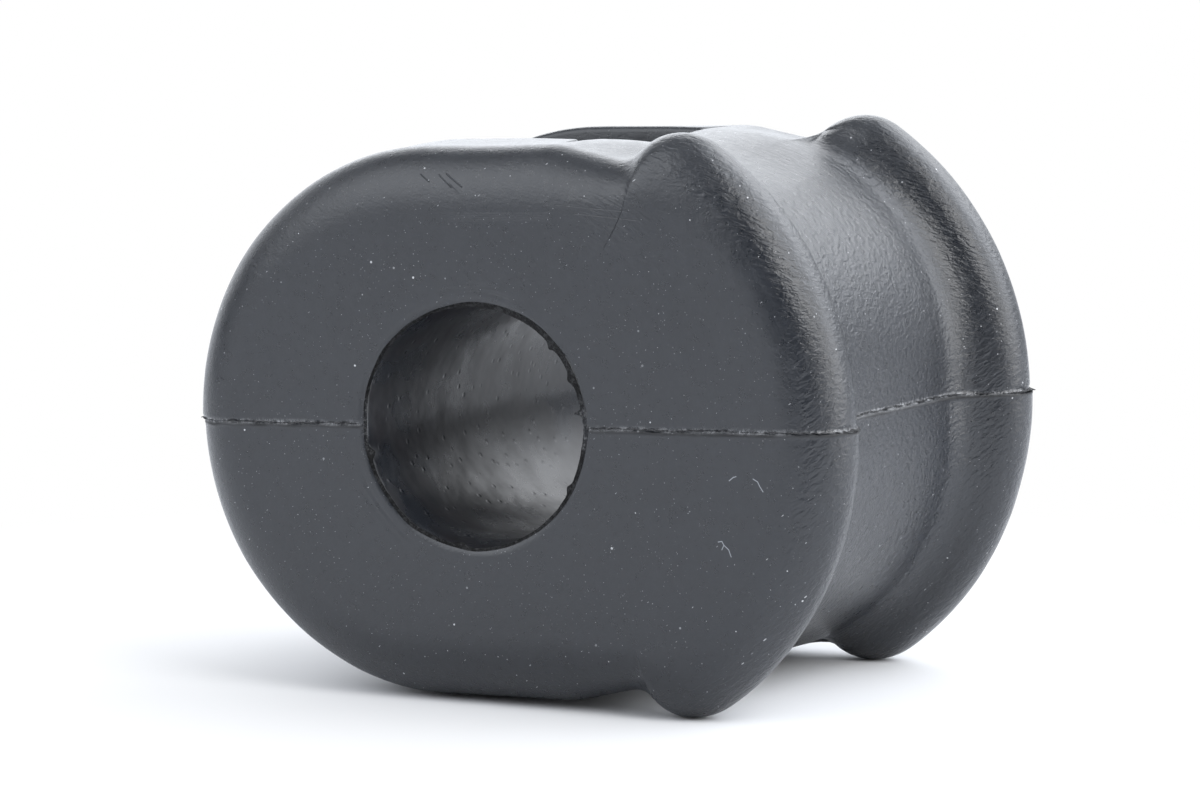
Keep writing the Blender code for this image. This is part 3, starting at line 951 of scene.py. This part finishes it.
def skin_height(n, mm, x, y, z):
    """Height in millimetres of the outer skin's texture."""
    # Leathery wrinkles, deep on the rims of the ears and faint elsewhere
    on_ears = n.span(x, 12.0, 20.0)
    upper = n.span(z, 2.0, 14.0)
    on_face = n.span(n.math("ABSOLUTE", y), 22.2, 21.9)
    upper_ears = n.noise(n.turned(mm, UPPER_WRINKLE_TURN, WRINKLE_STRETCH), 1.0, 2.0, 0.5, 0.5)
    lower_ears = n.noise(n.turned(mm, LOWER_WRINKLE_TURN, WRINKLE_STRETCH), 1.0, 2.0, 0.5, 0.5)
    wrinkles = n.blend(upper, lower_ears, upper_ears)
    depth = n.blend(on_ears, WRINKLES_ELSEWHERE, n.blend(on_face, WRINKLES_ON_FACES, WRINKLES_ON_EARS))
    grain = n.product(n.noise(mm, 4.0, 4.0, 0.68), GRAIN_DEPTH)
    height = n.sum(n.product(wrinkles, depth), grain)

    # Arched wrinkles in the hollow under the valley
    off_x = n.math("SUBTRACT", x, ARCH_CENTRE[0])
    off_z = n.math("SUBTRACT", z, ARCH_CENTRE[1])
    radius = n.math("SQRT", n.sum(n.math("POWER", off_x, 2.0), n.math("POWER", off_z, 2.0)))
    turn = n.math("ARCTAN2", off_z, off_x)
    inputs = {0: n.product(turn, 6.5), 1: n.product(y, 0.5), 2: n.product(radius, 2.6)}
    arched = n.add("ShaderNodeCombineXYZ", inputs)
    arches = n.noise(arched.outputs[0], 1.0, 2.0, 0.5, 0.4)
    away = 0.0
    for value, middle, reach in zip((x, z), ARCH_PATCH, ARCH_REACH):
        off = n.math("DIVIDE", n.math("SUBTRACT", value, middle), reach)
        away = n.sum(away, n.math("POWER", off, 2.0))
    height = n.sum(height, n.product(arches, n.span(away, 1.0, 0.1), ARCH_DEPTH))

    # Fine upright streaks on the saddle, and a coarser mottle all over
    streaks = n.noise(n.stretch(mm, (0.2, 3.2, 0.10)), 1.0, 2.0, 0.5)
    on_saddle = n.product(n.span(x, 8.0, 14.0), n.span(n.math("ABSOLUTE", y), 17.0, 12.0))
    height = n.sum(height, n.product(streaks, on_saddle, STREAK_DEPTH))
    height = n.sum(height, n.product(n.noise(mm, 0.9, 3.0, 0.6), MOTTLE_DEPTH))
    return n.sum(height, face_marks(n, x, y, z))


# Depth in millimetres of each texture of the bore's wall
RIPPLE_DEPTH = 0.07
BORE_GRAIN_DEPTH = 0.003
PIT_DEPTH = 0.02


def bore_height(n, mm):
    """Height in millimetres of the bore's wall: soft ripples, grain and small pits."""
    ripple = n.product(n.noise(mm, 0.30, 2.0, 0.5), RIPPLE_DEPTH)
    grain = n.product(n.noise(mm, 1.6, 3.0, 0.6), BORE_GRAIN_DEPTH)
    cells = n.add("ShaderNodeTexVoronoi", {"Vector": mm, "Scale": 0.7, "Randomness": 1.0})
    pits = n.product(n.span(cells.outputs["Distance"], 0.20, 0.08), -PIT_DEPTH)
    return n.sum(ripple, grain, pits)


def rubber_material(name, in_bore):
    """Black rubber of the outer skin or of the bore's wall, both with the torn seam, its pale strip
    that is partly a painted highlight, and painted shade in the crack under it.
    """
    material = bpy.data.materials.new(name)
    n = Nodes(material)
    mm = n.place_mm()
    x, y, z = n.split(mm)

    # Colour: a thin grey bloom over black, wiped in places
    haze = n.noise(mm, 0.16, 4.0, 0.6)
    film = n.noise(mm, 1.1, 5.0, 0.7)
    colour = n.mix(haze, SKIN_DARK, SKIN_LIGHT)
    colour = n.mix(n.span(film, 0.45, 0.75, 0.0, 0.35), colour, SKIN_FILM)
    if in_bore:
        cloud = n.noise(mm, 0.28, 3.0, 0.5)
        colour = n.mix(n.span(cloud, 0.38, 0.66, 0.0, 0.5), colour, BORE_WARM)
        colour = n.mix(n.span(cloud, 0.56, 0.32, 0.0, 0.4), colour, BORE_COOL)
        height = bore_height(n, mm)
        roughness = n.span(cloud, 0.35, 0.65, 0.24, 0.36)
        specular = 0.30
    else:
        colour = dust(n, mm, colour)
        height = skin_height(n, mm, x, y, z)
        roughness = n.span(film, 0.3, 0.7, 0.25, 0.35)
        specular = 0.72

    # The torn seam is pale in places: partly pale torn rubber, partly a painted highlight of the light
    # on its ridge
    crack = n.attribute("crack")
    torn = n.product(n.attribute("seam"), n.span(n.noise(mm, 2.6, 4.0, 0.8), 0.46, 0.58))
    colour = n.mix(n.product(torn, 0.8), colour, SEAM_PALE_AND_HIGHLIGHT)
    # The crack under the seam is painted near black as the shade under the ridge, and made rough
    colour = n.mix(n.product(crack, 0.85), colour, CRACK_PAINTED_SHADE)
    roughness = n.math("ADD", roughness, n.product(crack, 0.5), True)
    n.end_rubber(colour, roughness, specular, height)
    return material


def flash_material():
    """Torn rubber: greyer along the parting line, with a pale edge in places that is partly dust and
    partly a painted highlight of the light on the fin.
    """
    material = bpy.data.materials.new("torn_black_rubber")
    n = Nodes(material)
    mm = n.place_mm()
    on_seam = n.span(n.math("ABSOLUTE", n.split(mm)[2]), 2.5, 1.0)
    # Pale patches near the seam: partly dust, partly a painted highlight of the light on the fin
    pale_and_highlight = n.span(n.noise(mm, 2.4, 4.0, 0.8), 0.48, 0.60)
    pale_and_highlight = n.product(pale_and_highlight, n.span(on_seam, 0.0, 1.0, 0.22, 1.0))
    colour = n.mix(pale_and_highlight, n.mix(on_seam, FLASH_BLACK, FLASH_GREY), FLASH_PALE_AND_HIGHLIGHT)
    n.end_rubber(colour, 0.55, 0.35, n.noise(mm, 6.0, 3.0, 0.7))
    return material


# Camera, floor and light

CAMERA_PLACE = Vector((0.21242, -0.38116, 0.03964))
CAMERA_AZIMUTH = radians(29.076)
CAMERA_ELEVATION = radians(5.168)
CAMERA_ROLL = radians(1.80)
FOCAL_LENGTH = 143.5


def add_camera():
    az = CAMERA_AZIMUTH
    el = CAMERA_ELEVATION
    forward = Vector((-sin(az) * cos(el), cos(az) * cos(el), -sin(el)))
    right = Vector((cos(az), sin(az), 0.0))
    up = right.cross(forward)
    turned_right = right * cos(CAMERA_ROLL) - up * sin(CAMERA_ROLL)
    turned_up = right * sin(CAMERA_ROLL) + up * cos(CAMERA_ROLL)
    rotation = Matrix((turned_right, turned_up, -forward)).transposed()
    data = bpy.data.cameras.new("camera")
    data.sensor_width = 36.0
    data.lens = FOCAL_LENGTH
    data.clip_start = 0.01
    data.clip_end = 50.0
    camera = bpy.data.objects.new("camera", data)
    camera.matrix_world = Matrix.Translation(CAMERA_PLACE) @ rotation.to_4x4()
    bpy.context.scene.collection.objects.link(camera)
    bpy.context.scene.camera = camera


# The floor tilts about a line below the nose's centre, this far under the flats
FLOOR_TILT = radians(1.70)
FLOOR_DROP = 0.33

# In metres: width of the floor, where it turns plain white, and how far the block darkens it
FLOOR_SIZE = 6.0
FLOOR_FADE = (0.02, 0.12)
FLOOR_SHADE_REACH = 0.03


def add_floor():
    """The block rests on the nose ends of its flats and on its two lower ears."""
    half = FLOOR_SIZE / 2
    corners = [(-half, -half, 0), (half, -half, 0), (half, half, 0), (-half, half, 0)]
    mesh = bpy.data.meshes.new("floor")
    mesh.from_pydata(corners, [], [(0, 1, 2, 3)])
    material = bpy.data.materials.new("white_floor")
    n = Nodes(material)
    away = n.add("ShaderNodeVectorMath", {0: n.place()}, operation="LENGTH").outputs["Value"]
    diffuse = n.add("ShaderNodeBsdfDiffuse", {"Color": FLOOR_PALE}).outputs[0]
    white = n.add("ShaderNodeEmission", {"Color": WHITE, "Strength": 1.0}).outputs[0]
    seen = n.add("ShaderNodeLightPath").outputs["Is Camera Ray"]
    inputs = {"Distance": FLOOR_SHADE_REACH}
    open_share = n.add("ShaderNodeAmbientOcclusion", inputs, samples=8).outputs["AO"]
    share = n.product(n.span(away, *FLOOR_FADE, 0.5, 1.0), n.math("POWER", open_share, 1.5), seen)
    surface = n.add("ShaderNodeMixShader", {0: share, 1: diffuse, 2: white}).outputs[0]
    n.end("ShaderNodeOutputMaterial", surface)
    mesh.materials.append(material)
    floor = bpy.data.objects.new("floor", mesh)
    bpy.context.scene.collection.objects.link(floor)
    pivot = Vector((NOSE_CENTRE_X, 0.0, -FLAT_HALF_HEIGHT - FLOOR_DROP)) * MM
    floor.matrix_world = Matrix.Translation(pivot) @ Matrix.Rotation(FLOOR_TILT, 4, "Y")


# Softboxes, aimed at the origin: name, place and size in metres, watts
SOFTBOXES = (
    ("back_softbox", (-0.1, 0.62, 0.50), (1.1, 0.45), 1.3),
    ("right_softbox", (0.52, -0.20, 0.42), (0.35, 0.45), 2.7),
    ("low_softbox", (0.62, 0.12, 0.10), (0.5, 0.25), 1.4),
)


def add_softboxes():
    for name, place, size, power in SOFTBOXES:
        data = bpy.data.lights.new(name, "AREA")
        data.shape = "RECTANGLE"
        data.size, data.size_y = size
        data.energy = power
        lamp = bpy.data.objects.new(name, data)
        lamp.location = place
        lamp.rotation_euler = (-Vector(place)).to_track_quat("-Z", "Y").to_euler()
        bpy.context.scene.collection.objects.link(lamp)


# Soft lights round the block: direction and strength of each, fading between two angles
GLOWS = (
    ((-0.5, -0.66, 0.58), 2.7),
    ((0.6, 0.55, 0.7), 4.3),
    ((-0.8, 0.6, 0.1), 1.7),
    ((0.0, 0.0, 1.0), 0.8),
    ((-0.2, 0.85, 0.48), 1.9),
    ((0.7, 0.7, 0.1), 0.6),
    ((-0.85, 0.1, 0.6), 0.35),
)
GLOW_INNER = radians(12.0)
GLOW_OUTER = radians(38.0)
GLOW_TINT = (0.93, 0.965, 1.02, 1.0)
ROOM_LEVEL = 0.02


def add_world():
    """A dim room with the glows, which the camera sees as plain white."""
    world = bpy.data.worlds.new("studio")
    bpy.context.scene.world = world
    n = Nodes(world)
    seen = n.add("ShaderNodeLightPath").outputs["Is Camera Ray"]
    ahead = n.add("ShaderNodeTexCoord").outputs["Generated"]
    level = ROOM_LEVEL
    for direction, strength in GLOWS:
        middle = tuple(Vector(direction).normalized())
        toward = n.add("ShaderNodeVectorMath", {0: ahead, 1: middle}, operation="DOT_PRODUCT")
        edge = (cos(GLOW_OUTER), cos(GLOW_INNER))
        level = n.sum(level, n.span(toward.outputs["Value"], *edge, 0.0, strength))
    around = n.add("ShaderNodeBackground", {"Color": GLOW_TINT, "Strength": level}).outputs[0]
    white = n.add("ShaderNodeBackground", {"Color": WHITE, "Strength": 1.0}).outputs[0]
    mixed = n.add("ShaderNodeMixShader", {0: seen, 1: around, 2: white}).outputs[0]
    n.end("ShaderNodeOutputWorld", mixed)


bpy.context.scene.view_settings.view_transform = "Standard"
add_camera()
add_floor()
add_world()
add_softboxes()

skin = rubber_material("moulded_black_rubber", False)
bore_skin = rubber_material("bore_black_rubber", True)
torn_skin = flash_material()
block, formed_grid, grid_kinds = block_piece((skin, bore_skin, torn_skin))
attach(block, "root")
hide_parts("bushing")
flash = flash_piece(formed_grid, grid_kinds, torn_skin)
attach(flash, "root")
